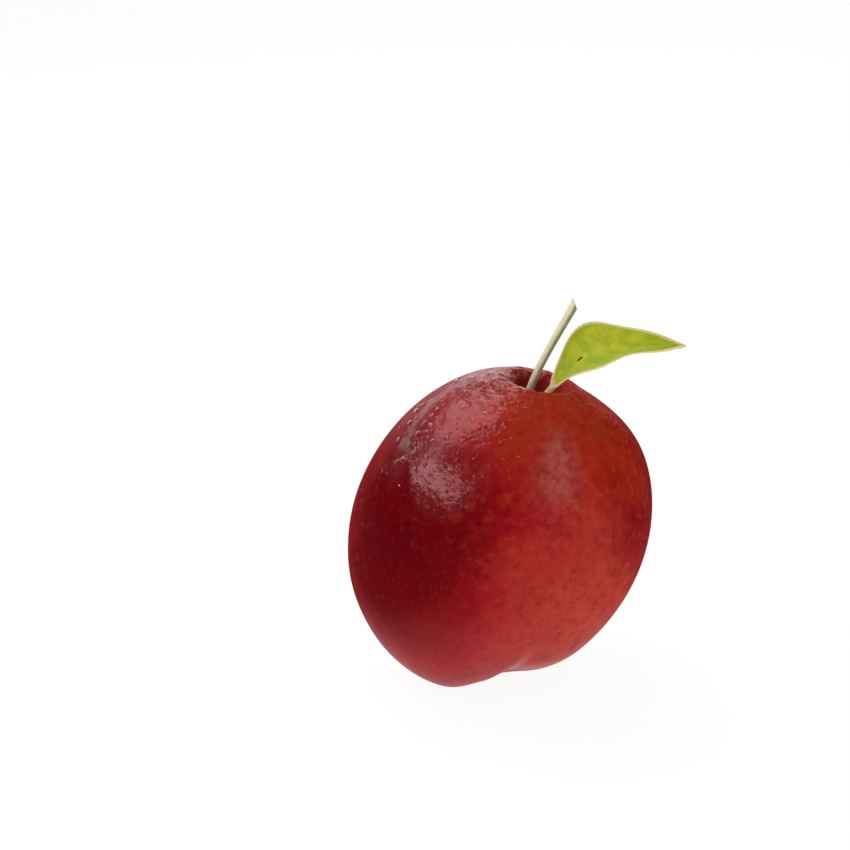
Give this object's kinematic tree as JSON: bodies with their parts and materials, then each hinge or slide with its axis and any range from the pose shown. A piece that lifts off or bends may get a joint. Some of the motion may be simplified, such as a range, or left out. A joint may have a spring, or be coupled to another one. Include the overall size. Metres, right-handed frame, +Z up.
{
  "type": "plum",
  "caption": "Ripe red dessert plum with a bent cut stalk and a small green leaf, leaning slightly, resting on a small flat spot.",
  "frame": {"origin": "middle of the small flat spot that the fruit rests on", "axes": "+Z up from the surface, the stalk end leans towards +X, and the side that the picture shows faces -Y"},
  "size_m": [0.0541, 0.047, 0.0638],
  "materials": {
    "plum_skin": "thin taut skin, dark crimson with brick red and orange parts, fine pale flecks, a soft waxy shine",
    "stalk_green": "pale green stalk with fine ridges, matt",
    "leaf_green": "fresh yellow-green leaf with fine veins and a pale edge, satin",
    "water_drop": "clear water"
  },
  "bodies": {
    "root": {"fruit": "plum_skin", "stalk": "stalk_green", "leaf": "leaf_green"}
  },
  "joints": []
}
